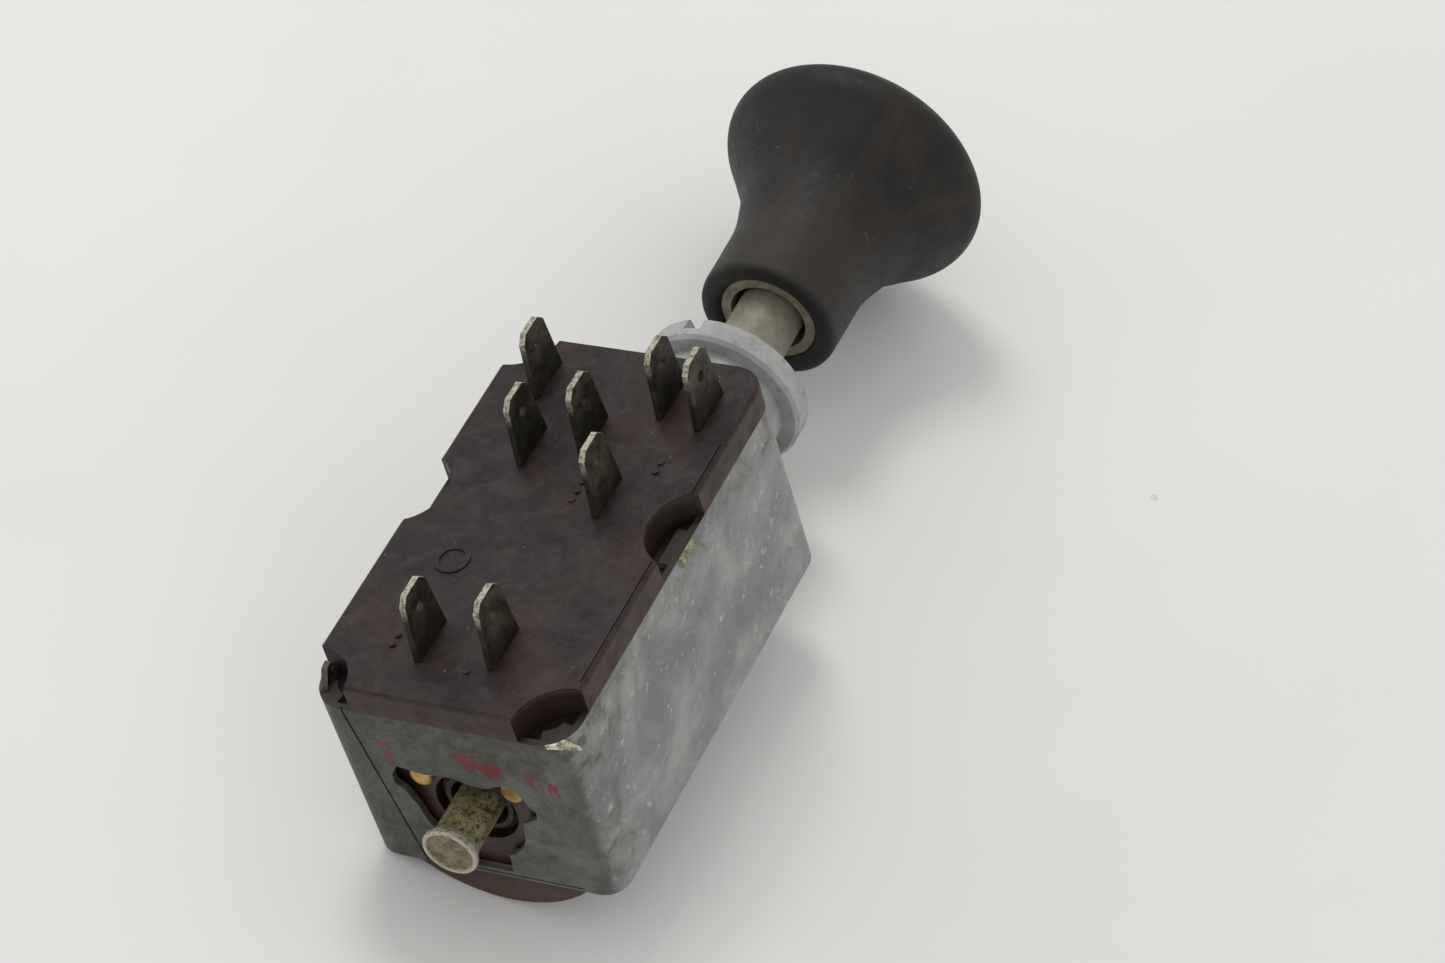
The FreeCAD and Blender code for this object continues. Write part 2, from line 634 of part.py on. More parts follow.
def make_knob():
    knob = revolve_y(knob_outline())
    knob = knob.cut(cyl_y(recess_r, knob_y - 1, knob_y + recess_d))
    return knob.cut(cyl_y(insert_r, knob_y, knob_y + recess_d + insert_len))


def make_knob_insert():
    """Metal insert moulded into the knob: a collar in the mouth and a tapped core."""
    collar = cyl_y(recess_r, knob_y + 0.7, knob_y + recess_d)
    collar = collar.cut(cyl_y(recess_r - 1.4, knob_y - 1, knob_y + recess_d - 0.05))
    core = cyl_y(insert_r, knob_y + recess_d - 0.05, knob_y + recess_d + insert_len)
    both = fuse_all([collar, core])
    both = both.cut(cyl_y(stub_r, knob_y, knob_y + recess_d + insert_len - 1.0))
    return both


os.makedirs("parts", exist_ok=True)


def write(name, shape):
    shape.exportStep("parts/" + name + ".step")


write("housing", make_housing())
write("terminal_plate", make_terminal_plate())
for number, solid in enumerate(make_terminals(), 1):
    write("terminal_%d" % number, solid)
write("contact_buttons", make_buttons())
write("dimmer_base", make_dimmer_base())
write("dimmer_coil", make_dimmer_coil())
write("dimmer_rivets", make_dimmer_rivets())
write("nose_bushing", make_nose())
write("ring_nut", make_nut())
write("carriage", make_carriage())
write("bridge_left", make_bridge("left"))
write("bridge_centre", make_bridge("centre"))
write("bridge_right", make_bridge("right"))
write("bridge_springs", make_bridge_springs())
write("detent_balls", make_detent_balls())
write("detent_springs", make_detent_springs())
write("pull_rod", make_rod())
write("rod_circlip", make_circlip())
write("dimmer_hub", make_hub())
write("hub_clip", make_hub_clip())
write("wiper_arm", make_wiper())
write("knob", make_knob())
write("knob_insert", make_knob_insert())
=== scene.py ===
import json
import math

import bmesh
import bpy
from mathutils import Matrix, Vector


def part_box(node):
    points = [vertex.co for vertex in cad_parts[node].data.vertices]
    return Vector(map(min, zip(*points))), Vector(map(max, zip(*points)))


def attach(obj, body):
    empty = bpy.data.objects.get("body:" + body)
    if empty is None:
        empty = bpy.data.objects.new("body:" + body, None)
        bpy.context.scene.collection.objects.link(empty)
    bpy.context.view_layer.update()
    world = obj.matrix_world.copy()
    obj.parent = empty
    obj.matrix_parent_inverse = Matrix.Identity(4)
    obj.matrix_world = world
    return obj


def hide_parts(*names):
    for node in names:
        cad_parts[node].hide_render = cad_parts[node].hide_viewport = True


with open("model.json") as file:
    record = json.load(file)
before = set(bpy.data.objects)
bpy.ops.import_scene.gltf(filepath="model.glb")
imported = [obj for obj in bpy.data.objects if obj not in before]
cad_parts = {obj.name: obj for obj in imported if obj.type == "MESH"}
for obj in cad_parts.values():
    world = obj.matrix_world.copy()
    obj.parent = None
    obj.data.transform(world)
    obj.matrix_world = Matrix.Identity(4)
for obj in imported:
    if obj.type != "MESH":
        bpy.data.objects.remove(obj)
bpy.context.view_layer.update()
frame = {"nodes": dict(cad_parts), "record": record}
MM = 0.001
scene = bpy.context.scene


# ---- small node helpers ---------------------------------------------------------------
class Nodes:
    """One material's node tree, with short calls for the nodes used here."""

    def __init__(self, name):
        self.mat = bpy.data.materials.new(name)
        self.mat.use_nodes = True
        self.t = self.mat.node_tree
        self.bsdf = self.t.nodes["Principled BSDF"]
        self.coord = self.t.nodes.new("ShaderNodeTexCoord").outputs["Object"]

    def link(self, a, b):
        self.t.links.new(a, b)

    def put(self, socket, value):
        if isinstance(value, bpy.types.NodeSocket):
            self.link(value, socket)
        else:
            socket.default_value = value

    def mapped(self, scale):
        """Object coordinates stretched by a scale along each axis."""
        m = self.t.nodes.new("ShaderNodeMapping")
        m.inputs["Scale"].default_value = scale
        self.link(self.coord, m.inputs["Vector"])
        return m.outputs["Vector"]

    def noise(self, size_mm, detail, rough=0.55, distort=0.0, vector=None, seed=0.0):
        n = self.t.nodes.new("ShaderNodeTexNoise")
        n.noise_dimensions = "4D"
        n.inputs["W"].default_value = seed
        n.inputs["Scale"].default_value = 1000.0 / size_mm
        n.inputs["Detail"].default_value = detail
        n.inputs["Roughness"].default_value = rough
        n.inputs["Distortion"].default_value = distort
        self.link(vector or self.coord, n.inputs["Vector"])
        return n.outputs["Fac"]

    def cells(self, size_mm):
        """Distance to the nearest of a set of points scattered a cell size apart."""
        n = self.t.nodes.new("ShaderNodeTexVoronoi")
        n.inputs["Scale"].default_value = 1000.0 / size_mm
        self.link(self.coord, n.inputs["Vector"])
        return n.outputs["Distance"]

    def ramp(self, fac, low, high, to_low=0.0, to_high=1.0, smooth=True):
        n = self.t.nodes.new("ShaderNodeMapRange")
        n.interpolation_type = "SMOOTHSTEP" if smooth else "LINEAR"
        self.link(fac, n.inputs["Value"])
        n.inputs["From Min"].default_value = low
        n.inputs["From Max"].default_value = high
        n.inputs["To Min"].default_value = to_low
        n.inputs["To Max"].default_value = to_high
        return n.outputs["Result"]

    def math(self, op, a, b=0.0):
        n = self.t.nodes.new("ShaderNodeMath")
        n.operation = op
        self.put(n.inputs[0], a)
        self.put(n.inputs[1], b)
        return n.outputs[0]

    def mix(self, fac, a, b):
        n = self.t.nodes.new("ShaderNodeMix")
        n.data_type = "RGBA"
        self.put(n.inputs[0], fac)
        self.put(n.inputs[6], (*a, 1) if isinstance(a, tuple) else a)
        self.put(n.inputs[7], (*b, 1) if isinstance(b, tuple) else b)
        return n.outputs[2]

    def axis(self, which):
        n = self.t.nodes.new("ShaderNodeSeparateXYZ")
        self.link(self.coord, n.inputs[0])
        return n.outputs[which]

    def along(self, which, start_mm, end_mm, to_low=0.0, to_high=1.0):
        """Goes from to_low to to_high as a point moves along an axis from start to end."""
        return self.ramp(self.axis(which), start_mm * MM, end_mm * MM, to_low, to_high)

    def bump(self, parts):
        """Bump from (height, strength, distance in mm) parts laid on each other."""
        normal = None
        for height, strength, distance in parts:
            b = self.t.nodes.new("ShaderNodeBump")
            b.inputs["Strength"].default_value = strength
            b.inputs["Distance"].default_value = distance * MM
            self.link(height, b.inputs["Height"])
            if normal is not None:
                self.link(normal, b.inputs["Normal"])
            normal = b.outputs["Normal"]
        self.link(normal, self.bsdf.inputs["Normal"])

    def finish(self, colour, rough, metal=0.0, specular=None):
        self.put(self.bsdf.inputs["Base Color"], (*colour, 1) if isinstance(colour, tuple) else colour)
        self.put(self.bsdf.inputs["Roughness"], rough)
        self.bsdf.inputs["Metallic"].default_value = metal
        if specular is not None:
            self.bsdf.inputs["Specular IOR Level"].default_value = specular
        return self.mat


def blob(n, x, z, rx, rz, angle=0.0):
    """1 inside an ellipse on the rear face, falling to 0 outside it."""
    px = n.math("SUBTRACT", n.axis("X"), x * MM)
    pz = n.math("SUBTRACT", n.axis("Z"), z * MM)
    c, s = math.cos(math.radians(angle)), math.sin(math.radians(angle))
    u = n.math("ADD", n.math("MULTIPLY", px, c), n.math("MULTIPLY", pz, s))
    v = n.math("ADD", n.math("MULTIPLY", px, -s), n.math("MULTIPLY", pz, c))
    uu = n.math("POWER", n.math("DIVIDE", u, rx * MM), 2.0)
    vv = n.math("POWER", n.math("DIVIDE", v, rz * MM), 2.0)
    return n.ramp(n.math("ADD", uu, vv), 0.35, 1.5, 1.0, 0.0)


# ---- materials ------------------------------------------------------------------------
# centre of the box's right rear round corner at the rim, mm
CORNER_X = 13.2
CORNER_Y = -57.8


def case_steel():
    n = Nodes("case_steel_zinc")
    blotch = n.noise(9.0, 6, 0.62, 0.4)
    fine = n.noise(1.3, 5, 0.65, 0.2, seed=3)
    grain = n.noise(0.28, 3, 0.6, seed=5)
    c = n.mix(n.ramp(blotch, 0.36, 0.66), (0.205, 0.217, 0.217), (0.345, 0.355, 0.345))
    c = n.mix(n.ramp(fine, 0.56, 0.70), c, (0.47, 0.475, 0.45))
    # greenish-brown grime, thick near the plate and the rear, thin elsewhere
    up = n.along("Z", 6.0, 17.0, 0.0, 0.17)
    back = n.along("Y", -46.0, -60.5, 0.0, 0.15)
    dirt = n.math("ADD", n.math("ADD", up, back), n.noise(5.0, 7, 0.7, 0.6, seed=9))
    dirt_mask = n.ramp(dirt, 0.58, 0.84)
    c = n.mix(n.math("MULTIPLY", dirt_mask, 0.85), c, (0.130, 0.125, 0.100))
    spread = n.math("MULTIPLY", n.noise(2.2, 5, 0.7, seed=14), 0.35)
    rust = n.ramp(n.math("ADD", dirt, spread), 0.90, 1.02)
    c = n.mix(n.math("MULTIPLY", rust, 0.45), c, (0.070, 0.052, 0.032))
    # dark flecks and pale specks of oxide
    flecks = n.ramp(n.noise(0.75, 4, 0.7, seed=21), 0.66, 0.74)
    c = n.mix(n.math("MULTIPLY", flecks, 0.6), c, (0.075, 0.068, 0.050))
    pale = n.ramp(n.noise(0.5, 3, 0.6, seed=25), 0.68, 0.76)
    c = n.mix(n.math("MULTIPLY", pale, 0.45), c, (0.58, 0.58, 0.53))
    # the rear face is painted darker as shade, more so towards its left, with a mottled tone
    near_back = n.along("Y", -60.0, -61.2)
    shade = n.along("X", -12.0, 12.0, 0.88, 0.70)
    mottle = n.ramp(n.noise(1.7, 7, 0.75, 0.7, seed=29), 0.40, 0.62)
    rear_shade_tone = n.mix(mottle, (0.026, 0.026, 0.020), (0.070, 0.070, 0.056))
    c = n.mix(n.math("MULTIPLY", near_back, shade), c, rear_shade_tone)
    # dabs of old red paint on the rear face
    spots = blob(n, -9.0, 10.0, 0.9, 2.0, 15)
    for x, z, rx, rz, a in ((2.6, 10.9, 2.1, 1.5, -12), (5.6, 9.9, 1.9, 1.6, 20)):
        spots = n.math("MAXIMUM", spots, blob(n, x, z, rx, rz, a))
    faint = n.math("MAXIMUM", blob(n, 11.2, 9.4, 1.2, 1.4, 10), blob(n, 13.8, 8.0, 0.9, 1.8, 0))
    spots = n.math("MAXIMUM", spots, n.math("MULTIPLY", faint, 0.72))
    patchy = n.math("MULTIPLY", spots, n.ramp(n.noise(0.9, 6, 0.75, 0.9, seed=31), 0.34, 0.60))
    c = n.mix(n.math("MULTIPLY", n.ramp(patchy, 0.25, 0.6), near_back), c, (0.155, 0.027, 0.028))
    # black grime on the folded tabs, a dull lug, a bright rubbed bend, and a bright ear of rubbed bare
    # steel lit up further by a painted highlight
    above = n.along("Z", 16.55, 16.65)
    c = n.mix(above, c, (0.030, 0.022, 0.017))
    lug = n.along("Z", 16.9, 17.6)
    c = n.mix(lug, c, (0.085, 0.078, 0.058))
    ex = n.math("SUBTRACT", n.axis("X"), CORNER_X * MM)
    ey = n.math("SUBTRACT", n.axis("Y"), CORNER_Y * MM)
    reach = n.math("SQRT", n.math("ADD", n.math("MULTIPLY", ex, ex), n.math("MULTIPLY", ey, ey)))
    ear = n.ramp(reach, 4.84 * MM, 4.9 * MM)
    ear = n.math("MULTIPLY", ear, n.ramp(ex, 0.1 * MM, 0.3 * MM))
    ear = n.math("MULTIPLY", ear, n.ramp(ey, -0.1 * MM, -0.3 * MM))
    bend = n.along("X", 18.03, 18.1)
    bend_tone = n.mix(n.ramp(fine, 0.4, 0.6), (0.115, 0.115, 0.06), (0.36, 0.36, 0.22))
    c = n.mix(n.math("MULTIPLY", bend, 0.9), c, bend_tone)
    # the ear is partly rubbed bare steel and partly a painted highlight where it catches the light
    ear_steel_and_highlight = n.mix(n.ramp(fine, 0.36, 0.56), (0.20, 0.19, 0.11), (0.70, 0.68, 0.55))
    c = n.mix(ear, c, ear_steel_and_highlight)
    rough = n.ramp(fine, 0.2, 0.8, 0.42, 0.70, False)
    n.bump([(blotch, 0.25, 0.30), (fine, 0.35, 0.10), (grain, 0.25, 0.03)])
    return n.finish(c, rough, 0.25)


def plate_phenolic():
    n = Nodes("plate_phenolic_worn")
    big = n.noise(12.0, 5, 0.6, 0.3, seed=2)
    fine = n.noise(0.7, 5, 0.7, seed=4)
    c = n.mix(n.ramp(big, 0.35, 0.7), (0.010, 0.006, 0.007), (0.034, 0.013, 0.014))
    # grey dust film lies on the top face
    top = n.along("Z", 20.0, 20.5)
    film = n.math("MULTIPLY", top, n.ramp(n.noise(4.0, 7, 0.75, 0.8, seed=8), 0.42, 0.66))
    c = n.mix(n.math("MULTIPLY", film, 0.55), c, (0.046, 0.038, 0.037))
    side = n.math("SUBTRACT", 1.0, top)
    c = n.mix(n.math("MULTIPLY", side, 0.7), c, (0.052, 0.030, 0.028))
    # the moulded line along the right-hand edge is painted dark as shade in its groove, and the
    # scallops' inner walls are painted near black as shade
    line = n.math("MULTIPLY", n.along("X", 17.22, 17.27), side)
    line = n.math("MULTIPLY", line, n.along("X", 17.47, 17.43))
    c = n.mix(line, c, (0.020, 0.007, 0.008))
    # painted shade: the inner walls below the top face, in the scallops, go near black
    off_right = n.along("X", 17.95, 17.85)
    inner = n.math("MULTIPLY", off_right, n.along("X", -18.0, -17.9))
    inner = n.math("MULTIPLY", inner, n.along("Y", -62.6, -62.5))
    inner = n.math("MULTIPLY", inner, n.along("Z", 20.0, 19.6))
    c = n.mix(n.math("MULTIPLY", inner, 0.75), c, (0.014, 0.006, 0.006))
    # brown grime in patches, and specks
    mud = n.ramp(n.noise(3.2, 7, 0.72, 0.7, seed=12), 0.58, 0.72)
    c = n.mix(n.math("MULTIPLY", mud, 0.6), c, (0.055, 0.044, 0.032))
    soot = n.ramp(n.noise(6.5, 6, 0.7, 0.9, seed=22), 0.54, 0.66)
    c = n.mix(n.math("MULTIPLY", soot, 0.6), c, (0.008, 0.007, 0.006))
    grit = n.ramp(n.noise(0.5, 3, 0.6, seed=27), 0.62, 0.70)
    c = n.mix(n.math("MULTIPLY", grit, 0.45), c, (0.075, 0.062, 0.055))
    speck = n.ramp(n.cells(1.1), 0.10, 0.16, 1.0, 0.0)
    pick = n.ramp(n.noise(2.4, 2, seed=16), 0.60, 0.66)
    c = n.mix(n.math("MULTIPLY", n.math("MULTIPLY", speck, pick), 0.7), c, (0.22, 0.19, 0.17))
    rough = n.ramp(n.noise(2.5, 4, 0.6, seed=18), 0.3, 0.7, 0.34, 0.66, False)
    n.bump([(n.noise(2.0, 5, 0.6, seed=6), 0.35, 0.20), (fine, 0.45, 0.06)])
    return n.finish(c, rough, 0.0, specular=0.3)


def plate_edge():
    n = Nodes("plate_phenolic_rubbed_edge")
    fine = n.noise(0.8, 5, 0.7, seed=4)
    c = n.mix(n.ramp(fine, 0.4, 0.65), (0.045, 0.020, 0.020), (0.105, 0.066, 0.060))
    n.bump([(fine, 0.4, 0.05)])
    return n.finish(c, 0.42)


def blade_brass():
    n = Nodes("blade_brass_tarnished")
    patch = n.noise(2.6, 6, 0.65, 0.4, seed=1)
    fine = n.noise(0.45, 5, 0.7, seed=2)
    c = n.mix(n.ramp(patch, 0.38, 0.68), (0.026, 0.024, 0.018), (0.105, 0.092, 0.062))
    c = n.mix(n.math("MULTIPLY", n.ramp(fine, 0.60, 0.74), 0.45), c, (0.20, 0.18, 0.13))
    # painted shade: the blades go darker towards their base at the plate
    low = n.along("Z", 25.5, 21.5)
    c = n.mix(n.math("MULTIPLY", low, 0.6), c, (0.018, 0.015, 0.011))
    # the thin sides are rubbed bright towards the tips
    facing = n.t.nodes.new("ShaderNodeSeparateXYZ")
    n.link(n.t.nodes.new("ShaderNodeTexCoord").outputs["Normal"], facing.inputs[0])
    thin = n.ramp(n.math("ABSOLUTE", facing.outputs["X"]), 0.6, 0.4)
    thin = n.math("MULTIPLY", thin, n.along("Z", 26.2, 29.0))
    bright = n.mix(n.ramp(fine, 0.36, 0.58), (0.12, 0.105, 0.07), (0.50, 0.47, 0.40))
    c = n.mix(thin, c, bright)
    rough = n.ramp(fine, 0.3, 0.7, 0.46, 0.72, False)
    n.bump([(patch, 0.25, 0.08), (fine, 0.4, 0.03)])
    return n.finish(c, rough, 0.55)


def worn_metal():
    n = Nodes("blade_bright_edge")
    fine = n.noise(0.6, 5, 0.7, seed=7)
    tip = n.along("Z", 26.2, 28.8)
    c = n.mix(n.ramp(fine, 0.34, 0.58), (0.16, 0.14, 0.10), (0.66, 0.63, 0.56))
    c = n.mix(tip, n.mix(0.75, c, (0.085, 0.072, 0.048)), c)
    n.bump([(fine, 0.3, 0.02)])
    return n.finish(c, 0.45, 0.35)


def simple_metal(name, dark, light, size_mm, rough, metal, speck=None, seed=0.0):
    """Metal with a blotchy colour, a fine grain and optional dark specks."""
    n = Nodes(name)
    patch = n.noise(size_mm, 6, 0.65, 0.4, seed=seed)
    fine = n.noise(size_mm * 0.22, 4, 0.7, seed=seed + 3)
    c = n.mix(n.ramp(patch, 0.36, 0.66), dark, light)
    if speck:
        dots = n.ramp(n.noise(size_mm * 0.35, 5, 0.75, 0.3, seed=seed + 6), 0.54, 0.64)
        c = n.mix(n.math("MULTIPLY", dots, 0.8), c, speck)
    r = n.ramp(fine, 0.25, 0.75, rough - 0.1, rough + 0.12, False)
    n.bump([(patch, 0.2, 0.08), (fine, 0.3, 0.03)])
    return n.finish(c, r, metal)


def spring_wire():
    n = Nodes("spring_steel_wire")
    patch = n.noise(1.5, 5, 0.65, 0.3)
    c = n.mix(n.ramp(patch, 0.36, 0.66), (0.42, 0.42, 0.41), (0.58, 0.58, 0.56))
    # the hub's clip at the rear is painted dark as shade
    clip_shade = n.along("Y", -52.0, -55.0)
    c = n.mix(clip_shade, c, (0.020, 0.017, 0.014))
    n.bump([(patch, 0.25, 0.03)])
    return n.finish(c, n.ramp(clip_shade, 0.0, 1.0, 0.34, 0.70, False), 0.4)


def rod_steel():
    n = Nodes("rod_steel_passivated")
    patch = n.noise(1.9, 6, 0.7, 0.5, seed=1)
    fine = n.noise(0.6, 5, 0.75, 0.4, seed=2)
    c = n.mix(n.ramp(patch, 0.38, 0.62), (0.20, 0.170, 0.065), (0.36, 0.325, 0.19))
    c = n.mix(n.ramp(fine, 0.50, 0.58), c, (0.060, 0.048, 0.020))
    across = n.math("POWER", n.axis("X"), 2.0)
    radius = n.math("SQRT", n.math("ADD", across, n.math("POWER", n.axis("Z"), 2.0)))
    rear = n.along("Y", -66.4, -66.8)
    rim = n.math("MULTIPLY", rear, n.ramp(radius, 3.0 * MM, 3.3 * MM))
    face = n.along("Y", -67.6, -67.8)
    face = n.math("MULTIPLY", face, n.ramp(radius, 3.2 * MM, 2.9 * MM))
    face_tone = n.mix(n.ramp(patch, 0.4, 0.6), (0.120, 0.088, 0.050), (0.22, 0.175, 0.105))
    c = n.mix(n.math("MULTIPLY", face, 0.8), c, face_tone)
    rim_tone = n.mix(n.ramp(fine, 0.38, 0.56), (0.22, 0.20, 0.14), (0.60, 0.58, 0.50))
    c = n.mix(n.math("MULTIPLY", rim, 0.75), c, rim_tone)
    front = n.along("Y", -20.0, 0.0)
    c = n.mix(front, c, n.mix(n.ramp(patch, 0.35, 0.7), (0.215, 0.205, 0.150), (0.30, 0.290, 0.225)))
    n.bump([(patch, 0.3, 0.10), (fine, 0.45, 0.05)])
    return n.finish(c, n.ramp(fine, 0.3, 0.7, 0.42, 0.66, False), 0.35)


def dimmer_phenolic():
    n = Nodes("dimmer_phenolic_brown")
    patch = n.noise(5.0, 5, 0.6, 0.3, seed=2)
    fine = n.noise(0.8, 4, 0.7, seed=5)
    c = n.mix(n.ramp(patch, 0.35, 0.7), (0.022, 0.008, 0.007), (0.045, 0.018, 0.014))
    # painted light and shade: the disc is lighter and more orange below the housing's floor, where it
    # is lit, and darker above it as painted shade under the housing
    low = n.along("Z", -12.5, -15.0)
    c = n.mix(low, c, n.mix(n.ramp(fine, 0.35, 0.65), (0.030, 0.016, 0.011), (0.070, 0.032, 0.018)))
    n.bump([(patch, 0.2, 0.1), (fine, 0.2, 0.03)])
    return n.finish(c, n.ramp(fine, 0.3, 0.7, 0.28, 0.5, False), 0.0)


def knob_plastic():
    n = Nodes("knob_plastic_dusty")
    streak = n.noise(9.0, 6, 0.62, 0.8, vector=n.mapped(scale=(1, 0.45, 1)), seed=2)
    fine = n.noise(1.1, 5, 0.7, seed=4)
    c = n.mix(n.ramp(streak, 0.36, 0.68), (0.0095, 0.0075, 0.0065), (0.024, 0.019, 0.016))
    c = n.mix(n.math("MULTIPLY", n.ramp(fine, 0.58, 0.74), 0.45), c, (0.060, 0.054, 0.044))
    neck = n.along("Y", 50.0, 36.0)
    c = n.mix(n.math("MULTIPLY", neck, 0.45), c, (0.033, 0.028, 0.025))
    # painted shade: the knob's rear end face, turned away from the light, goes near black
    mouth = n.along("Y", 29.0, 28.1)
    c = n.mix(mouth, c, (0.008, 0.008, 0.007))
    # a few pale rub marks where the neck meets the flare
    zone = n.along("Y", 36.0, 44.0)
    zone = n.math("MULTIPLY", zone, n.along("Y", 56.0, 50.0))
    rub = n.math("MULTIPLY", zone, n.ramp(n.noise(2.6, 3, 0.5, 0.8, seed=19), 0.66, 0.74))
    c = n.mix(n.math("MULTIPLY", rub, 0.5), c, (0.085, 0.085, 0.095))
    n.bump([(streak, 0.2, 0.25), (fine, 0.3, 0.05)])
    return n.finish(c, n.ramp(fine, 0.25, 0.75, 0.48, 0.70, False), 0.0, specular=0.35)


def plain_plastic():
    n = Nodes("slide_plastic_fawn")
    patch = n.noise(6.0, 5, 0.6, seed=2)
    fine = n.noise(0.6, 4, 0.7, seed=4)
    c = n.mix(n.ramp(patch, 0.3, 0.7), (0.44, 0.36, 0.24), (0.60, 0.52, 0.38))
    n.bump([(fine, 0.3, 0.04)])
    return n.finish(c, n.ramp(fine, 0.3, 0.7, 0.4, 0.6, False))


def floor_paint():
    n = Nodes("floor_pale")
    soft = n.noise(60.0, 3, 0.5, seed=1)
    speck = n.ramp(n.cells(26.0), 0.018, 0.030, 1.0, 0.0)
    c = n.mix(n.ramp(soft, 0.3, 0.7), (0.80, 0.80, 0.80), (0.83, 0.83, 0.83))
    c = n.mix(n.math("MULTIPLY", speck, 0.35), c, (0.42, 0.40, 0.36))
    n.finish(c, 0.75)
    # nothing is hidden when the object is seen from under the table
    out = n.t.nodes["Material Output"]
    clear = n.t.nodes.new("ShaderNodeBsdfTransparent")
    side = n.t.nodes.new("ShaderNodeNewGeometry").outputs["Backfacing"]
    both = n.t.nodes.new("ShaderNodeMixShader")
    n.link(side, both.inputs[0])
    n.link(n.bsdf.outputs[0], both.inputs[1])
    n.link(clear.outputs[0], both.inputs[2])
    n.link(both.outputs[0], out.inputs["Surface"])
    return n.mat


MATS = {
    "case_steel": case_steel(),
    "plate_phenolic": plate_phenolic(),
    "blade_brass": blade_brass(),
    "contact_brass": simple_metal("contact_brass_plain", (0.40, 0.23, 0.07), (0.66, 0.42, 0.15),
                                  2.0, 0.36, 0.8),
    "dimmer_phenolic": dimmer_phenolic(),
    "coil_wire": simple_metal("coil_wire_oxidised", (0.20, 0.18, 0.15), (0.34, 0.31, 0.27),
                              1.2, 0.5, 0.8),
    "nose_metal": simple_metal("nose_metal_satin", (0.31, 0.325, 0.325), (0.42, 0.435, 0.425),
                               4.0, 0.6, 0.1, speck=(0.24, 0.25, 0.235), seed=4),
    "slide_plastic": plain_plastic(),
    "spring_steel": spring_wire(),
    "rod_steel": rod_steel(),
    "hub_plastic": simple_metal("hub_plastic_dark", (0.010, 0.008, 0.007), (0.024, 0.019, 0.016),
                                2.0, 0.6, 0.0),
    "knob_plastic": knob_plastic(),
    "insert_metal": simple_metal("insert_metal_beige", (0.170, 0.152, 0.105), (0.27, 0.245, 0.175),
                                 2.4, 0.6, 0.25, speck=(0.10, 0.085, 0.05), seed=8),
}
EDGES = {"terminal_plate": plate_edge(), "terminal": worn_metal()}


BEVEL_SEGMENTS = 2
BEVEL_ANGLE = 40         # edges bent more than this many degrees are softened


def bevel(obj, width_mm, slot=None):
    """Soften the sharp edges, and give the new faces the material in that slot."""
    m = obj.modifiers.new("soft_edges", "BEVEL")
    m.width = width_mm * MM
    m.segments = BEVEL_SEGMENTS
    m.limit_method = "ANGLE"
    m.angle_limit = math.radians(BEVEL_ANGLE)
    m.harden_normals = False
    m.use_clamp_overlap = True
    if slot is not None:
        m.material = slot


slot_of = {s["node"]: s["material_slot"] for s in frame["record"]["subparts"]}
for node, obj in frame["nodes"].items():
    obj.data.materials.clear()
    obj.data.materials.append(MATS[slot_of[node]])
    if node.startswith("terminal_") and node != "terminal_plate":
        obj.data.materials.append(EDGES["terminal"])
        bevel(obj, 0.14, slot=1)
    elif node == "terminal_plate":
        obj.data.materials.append(EDGES["terminal_plate"])
        bevel(obj, 0.12, slot=1)
    elif node in ("housing", "ring_nut", "carriage", "dimmer_base"):
        bevel(obj, 0.12)


# ---- knob ------------------------------------------------------------------------------
def lathe(name, profile, sides=144):
    """Closed mesh turned about the shaft axis from (y, radius) points in millimetres."""
    mesh = bpy.data.meshes.new(name)
    bm = bmesh.new()
    rings = []
    for y, r in profile:
        if r < 1e-6:
            rings.append([bm.verts.new((0, y * MM, 0))])
            continue
        ring = []
        for i in range(sides):
            a = 2 * math.pi * i / sides
            ring.append(bm.verts.new((r * MM * math.cos(a), y * MM, r * MM * math.sin(a))))
        rings.append(ring)
    for a, b in zip(rings, rings[1:]):
        for i in range(sides):
            j = (i + 1) % sides
            if len(a) == 1:
                bm.faces.new((a[0], b[j], b[i]))
            elif len(b) == 1:
                bm.faces.new((a[i], a[j], b[0]))
            else:
                bm.faces.new((a[i], a[j], b[j], b[i]))
    bmesh.ops.recalc_face_normals(bm, faces=bm.faces)
    for f in bm.faces:
        f.smooth = True
    bm.to_mesh(mesh)
    bm.free()
    obj = bpy.data.objects.new(name, mesh)
    scene.collection.objects.link(obj)
    return obj


def smooth_line(points, steps):
    """Catmull-Rom line through (y, radius) points, so that a few of them give a fair curve."""
    out = []
    for i in range(len(points) - 1):
        p0 = Vector(points[max(i - 1, 0)])
        p1 = Vector(points[i])
        p2 = Vector(points[i + 1])
        p3 = Vector(points[min(i + 2, len(points) - 1)])
        for s in range(steps):
            t = s / steps
            q = 0.5 * (2 * p1 + (p2 - p0) * t + (2 * p0 - 5 * p1 + 4 * p2 - p3) * t * t
                       + (3 * p1 - p0 - 3 * p2 + p3) * t ** 3)
            out.append((q.x, q.y))
    out.append(tuple(points[-1]))
    return out


KNOB_INSET = 0.03        # keeps the turned body just inside the modelled one
KNOB_NECK = 9.78         # radius of the neck


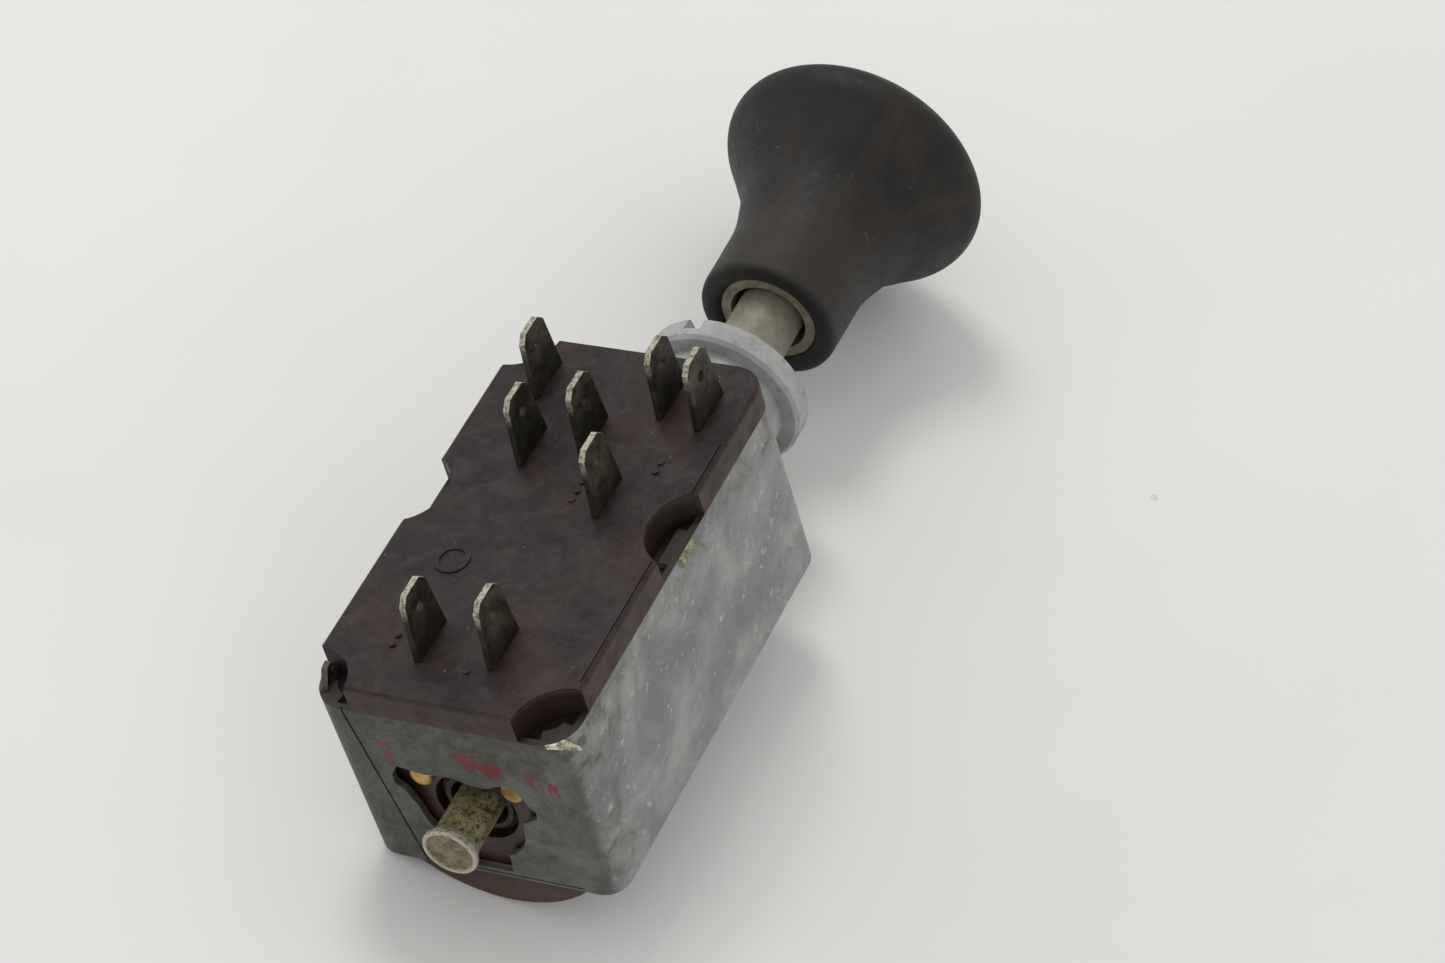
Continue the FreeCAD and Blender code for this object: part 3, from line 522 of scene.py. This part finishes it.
def make_knob():
    """Turned knob: its blind bore, mouth, neck, flare and low dome. Offsets are in mm."""
    lo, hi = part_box("knob")
    y0 = lo.y / MM
    y1 = hi.y / MM
    rim = hi.x / MM - KNOB_INSET
    neck = KNOB_NECK
    bore = [(y0 + 6.0, 5.22), (y0 + 6.0, 6.78), (y0 + 0.9, 6.82), (y0 + 0.35, 7.05), (y0 + 0.04, 7.5)]
    end = [(y0 + 0.03, 8.6), (y0 + 0.2, 9.25), (y0 + 0.65, 9.66), (y0 + 1.3, neck)]
    flare = smooth_line([(y0 + 1.3, neck), (y0 + 6.0, neck + 0.02), (y0 + 11.5, neck + 0.2),
                         (y0 + 16.0, neck + 1.25), (y0 + 20.0, neck + 2.7), (y0 + 23.4, neck + 4.9),
                         (y0 + 26.2, rim - 1.95), (y0 + 28.4, rim - 0.45), (y0 + 30.4, rim),
                         (y0 + 32.2, rim - 0.75), (y0 + 34.2, rim - 3.0), (y0 + 36.0, rim * 0.60),
                         (y1 - 0.35, rim * 0.30)], 6)
    inner = [(y0 + 18.9, 0.0), (y0 + 18.9, 5.0), (y0 + 18.7, 5.22)]
    obj = lathe("knob_body", inner + bore + end + flare[1:] + [(y1 - 0.02, 0.0)])
    obj.data.materials.append(MATS["knob_plastic"])
    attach(obj, "rod")
    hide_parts("knob")


make_knob()

# ---- floor, light and camera -------------------------------------------------------------
# The floor is tilted under the upright switch, as the switch lies rolled over in the photo.
# Nothing touches it: the gap is 0.17 mm under the dimmer base, 0.42 under the box, 0.51 under the knob.
ROLL = 20.5              # degrees about the shaft
SLOPE = 0.013            # fall of the floor towards the knob
FLOOR_DROP = 18.35 * MM  # from the origin to the floor
FLOOR_SIDES = 96
FLOOR_R = 1.6            # metres
FLOOR_UP = Vector((math.sin(math.radians(ROLL)), SLOPE, math.cos(math.radians(ROLL)))).normalized()


def make_floor():
    mesh = bpy.data.meshes.new("floor")
    bm = bmesh.new()
    side = FLOOR_UP.orthogonal().normalized()
    other = FLOOR_UP.cross(side)
    centre = -FLOOR_UP * FLOOR_DROP
    ring = []
    for i in range(FLOOR_SIDES):
        a = 2 * math.pi * i / FLOOR_SIDES
        ring.append(bm.verts.new(centre + (side * math.cos(a) + other * math.sin(a)) * FLOOR_R))
    bm.faces.new(ring)
    bm.normal_update()
    if bm.faces[:][0].normal.dot(FLOOR_UP) < 0:
        bmesh.ops.reverse_faces(bm, faces=bm.faces[:])
    bm.to_mesh(mesh)
    bm.free()
    obj = bpy.data.objects.new("floor", mesh)
    scene.collection.objects.link(obj)
    obj.data.materials.append(floor_paint())


def area_light(name, direction, distance, size, power, colour):
    """Round soft light that faces the origin, sizes in metres and power in watts."""
    data = bpy.data.lights.new(name, "AREA")
    data.shape = "DISK"
    data.size = size
    data.energy = power
    data.color = colour
    obj = bpy.data.objects.new(name, data)
    d = Vector(direction).normalized()
    obj.location = d * distance
    obj.rotation_mode = "QUATERNION"
    obj.rotation_quaternion = (-d).to_track_quat("-Z", "Y")
    scene.collection.objects.link(obj)


def make_camera():
    """Long-lens camera behind, above and to the right of the switch, as in the photo."""
    right = Vector((0.88868, 0.40360, -0.21760))
    up = Vector((-0.13864, 0.68887, 0.71150))
    forward = Vector((-0.43706, 0.60213, -0.66815))
    m = Matrix((right, up, -forward)).transposed().to_4x4()
    m.translation = Vector((0.26887, -0.36247, 0.40046))
    data = bpy.data.cameras.new("camera")
    data.lens = 115.94
    data.sensor_width = 36.0
    data.sensor_fit = "HORIZONTAL"
    data.clip_start = 0.01
    cam = bpy.data.objects.new("camera", data)
    cam.matrix_world = m
    scene.collection.objects.link(cam)
    scene.camera = cam


# name, direction, distance, size, power, colour
LIGHTS = (
    ("key", (-0.089, 0.371, 1.0), 0.9, 0.30, 2.2, (1.0, 0.985, 0.955)),
    ("fill", (-0.9, -0.5, 0.9), 1.1, 0.9, 1.0, (0.97, 0.98, 1.0)),
)
SKY_COLOUR = (1.0, 0.995, 0.97, 1)
SKY_STRENGTH = 0.70

make_floor()
for light in LIGHTS:
    area_light(*light)
make_camera()

world = bpy.data.worlds.new("studio")
world.use_nodes = True
world.node_tree.nodes["Background"].inputs["Color"].default_value = SKY_COLOUR
world.node_tree.nodes["Background"].inputs["Strength"].default_value = SKY_STRENGTH
scene.world = world
scene.view_settings.view_transform = "Standard"
